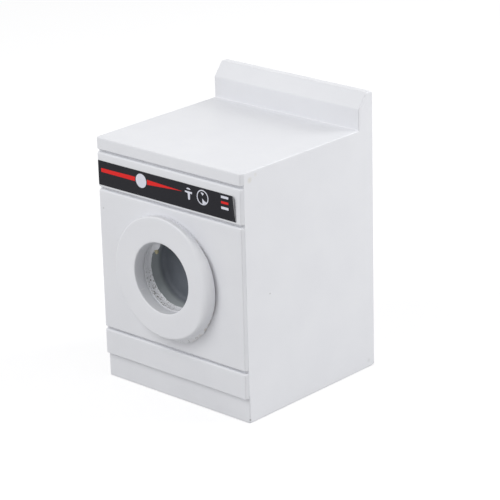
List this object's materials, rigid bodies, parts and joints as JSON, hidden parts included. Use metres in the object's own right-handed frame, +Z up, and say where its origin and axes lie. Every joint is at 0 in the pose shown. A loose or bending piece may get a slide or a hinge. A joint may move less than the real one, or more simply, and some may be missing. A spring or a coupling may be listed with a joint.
{
  "type": "toy washing machine",
  "caption": "Doll's-house front-loading washing machine of white painted boards, with a splashback, a control strip and a turned round door on a pin hinge.",
  "frame": {"origin": "middle of the underside of the cabinet, on the surface it stands on", "axes": "+Z up, -Y towards the front with the door, +X towards the viewer's right"},
  "size_m": [0.049, 0.0527, 0.0741],
  "materials": {
    "white_paint": "thin satin white paint over smooth wood",
    "bare_wood": "bare sanded wood",
    "ring_paint": "thicker satin white paint over turned wood",
    "label_film": "printed sticker, slightly glossy",
    "hinge_brass": "thin rolled brass",
    "pin_steel": "drawn steel wire",
    "drum_grey": "dark grey, satin"
  },
  "bodies": {
    "cabinet": {"side_panel_left": "white_paint", "side_panel_right": "white_paint", "base_board": "bare_wood", "back_board": "white_paint", "worktop": "white_paint", "splashback": "white_paint", "front_board": "white_paint", "worktop_edge": "white_paint", "control_rail": "white_paint", "control_label": "label_film", "front_panel": "white_paint", "plinth_rail": "white_paint", "hinge_leaf_panel": "hinge_brass", "hinge_pin": "pin_steel", "hinge_brad_panel_lower": "pin_steel", "hinge_brad_panel_upper": "pin_steel", "drum_cup": "drum_grey"},
    "door": {"door_ring": "ring_paint", "hinge_leaf_door": "hinge_brass", "hinge_brad_door_lower": "pin_steel", "hinge_brad_door_upper": "pin_steel"}
  },
  "joints": [
    {"name": "door_hinge", "type": "hinge", "parent": "cabinet", "child": "door", "pos_m": [-0.01605, -0.02535, 0.03358], "axis": [0, 0, -1], "range_deg": [0, 110]}
  ]
}
